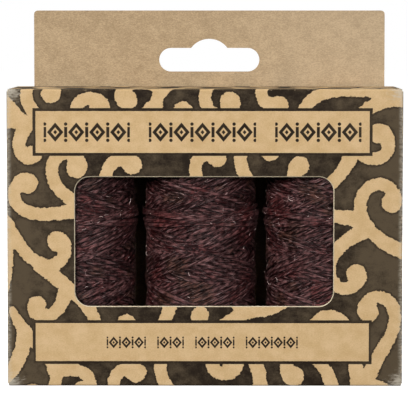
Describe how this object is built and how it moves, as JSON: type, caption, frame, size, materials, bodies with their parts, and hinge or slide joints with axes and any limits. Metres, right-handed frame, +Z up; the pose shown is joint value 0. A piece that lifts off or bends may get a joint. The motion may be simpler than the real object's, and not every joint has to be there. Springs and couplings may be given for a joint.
{
  "type": "windowed hang-tab carton of thread spools",
  "caption": "Folded kraft paperboard carton with a hang tab and euro slot, a round-cornered front window, tuck lids top and bottom, and wound spools of waxed thread inside.",
  "frame": {"origin": "middle of the carton's base, on the outer face of the bottom lid", "axes": "+Z up, +X to the right seen from the front, -Y out of the front panel with the window"},
  "size_m": [0.121, 0.04, 0.1152],
  "materials": {
    "printed_board": "uncoated kraft paperboard with a dark printed ground on its outer face",
    "core_paper": "spiral-wound grey-brown paper tube",
    "waxed_thread": "dark burgundy waxed thread, cross-wound"
  },
  "bodies": {
    "carton": {"front_panel": "printed_board", "back_panel": "printed_board", "left_side_panel": "printed_board", "right_side_panel": "printed_board", "glue_flap": "printed_board"},
    "top_lid": {"top_lid": "printed_board"},
    "top_tuck": {"top_tuck_flap": "printed_board"},
    "top_left_dust": {"top_left_dust_flap": "printed_board"},
    "top_right_dust": {"top_right_dust_flap": "printed_board"},
    "bottom_lid": {"bottom_lid": "printed_board"},
    "bottom_tuck": {"bottom_tuck_flap": "printed_board"},
    "bottom_left_dust": {"bottom_left_dust_flap": "printed_board"},
    "bottom_right_dust": {"bottom_right_dust_flap": "printed_board"},
    "left_spool": {"left_spool_core": "core_paper", "left_spool_thread": "waxed_thread"},
    "middle_spool": {"middle_spool_core": "core_paper", "middle_spool_thread": "waxed_thread"},
    "right_spool": {"right_spool_core": "core_paper", "right_spool_thread": "waxed_thread"}
  },
  "joints": [
    {"name": "top_lid_hinge", "type": "hinge", "parent": "carton", "child": "top_lid", "pos_m": [0, -0.02, 0.091], "axis": [1, 0, 0], "range_deg": [0, 180]},
    {"name": "top_tuck_fold", "type": "hinge", "parent": "top_lid", "child": "top_tuck", "pos_m": [0, 0.0179, 0.0905], "axis": [-1, 0, 0], "range_deg": [0, 27]},
    {"name": "top_left_dust_fold", "type": "hinge", "parent": "carton", "child": "top_left_dust", "pos_m": [-0.0605, 0, 0.09045], "axis": [0, -1, 0], "range_deg": [0, 90]},
    {"name": "top_right_dust_fold", "type": "hinge", "parent": "carton", "child": "top_right_dust", "pos_m": [0.0605, 0, 0.09045], "axis": [0, 1, 0], "range_deg": [0, 90]},
    {"name": "bottom_lid_hinge", "type": "hinge", "parent": "carton", "child": "bottom_lid", "pos_m": [0, -0.02, 0], "axis": [-1, 0, 0], "range_deg": [0, 180]},
    {"name": "bottom_tuck_fold", "type": "hinge", "parent": "bottom_lid", "child": "bottom_tuck", "pos_m": [0, 0.0179, 0.0005], "axis": [1, 0, 0], "range_deg": [0, 27]},
    {"name": "bottom_left_dust_fold", "type": "hinge", "parent": "carton", "child": "bottom_left_dust", "pos_m": [-0.0605, 0, 0.00055], "axis": [0, 1, 0], "range_deg": [0, 90]},
    {"name": "bottom_right_dust_fold", "type": "hinge", "parent": "carton", "child": "bottom_right_dust", "pos_m": [0.0605, 0, 0.00055], "axis": [0, -1, 0], "range_deg": [0, 90]},
    {"name": "left_spool_spin", "type": "hinge", "parent": "carton", "child": "left_spool", "pos_m": [-0.039, -0.0006, 0.0446], "axis": [0, 0, 1], "continuous": true},
    {"name": "middle_spool_spin", "type": "hinge", "parent": "carton", "child": "middle_spool", "pos_m": [-0.0014, -0.0006, 0.0446], "axis": [0, 0, 1], "continuous": true},
    {"name": "right_spool_spin", "type": "hinge", "parent": "carton", "child": "right_spool", "pos_m": [0.0362, -0.0006, 0.0446], "axis": [0, 0, 1], "continuous": true}
  ],
  "couplings": [
    {"joint": "top_tuck_fold", "follows": "top_lid_hinge", "ratio": 0.15},
    {"joint": "top_left_dust_fold", "follows": "top_lid_hinge", "ratio": 0.5},
    {"joint": "top_right_dust_fold", "follows": "top_lid_hinge", "ratio": 0.5},
    {"joint": "bottom_tuck_fold", "follows": "bottom_lid_hinge", "ratio": 0.15},
    {"joint": "bottom_left_dust_fold", "follows": "bottom_lid_hinge", "ratio": 0.5},
    {"joint": "bottom_right_dust_fold", "follows": "bottom_lid_hinge", "ratio": 0.5}
  ]
}
